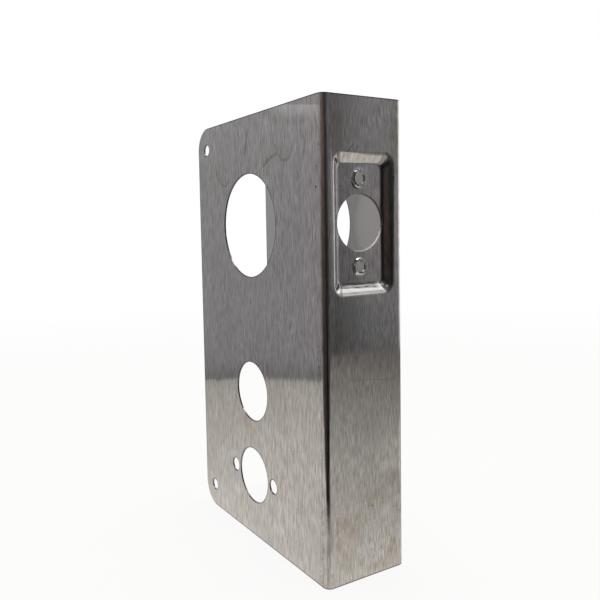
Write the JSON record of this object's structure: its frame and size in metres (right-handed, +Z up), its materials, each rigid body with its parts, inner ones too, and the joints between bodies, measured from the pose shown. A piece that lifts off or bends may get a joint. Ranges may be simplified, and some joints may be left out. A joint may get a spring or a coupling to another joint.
{
  "type": "door reinforcer plate",
  "caption": "Folded stainless steel plate that wraps the edge of a door round its lock, with a pressed latch recess and round lock bores in both flanges.",
  "frame": {"origin": "centre of the foot print: the middle of the width and of the reach, at the lower end", "axes": "+Z up along the edge of the door, -Y the outward side of the edge wall, +Y towards the free edges of the flanges, X across the thickness of the door"},
  "size_m": [0.0476, 0.127, 0.2286],
  "materials": {
    "brushed_stainless": "brushed along the height, satin"
  },
  "bodies": {
    "root": {"wrap_plate": "brushed_stainless"}
  },
  "joints": []
}
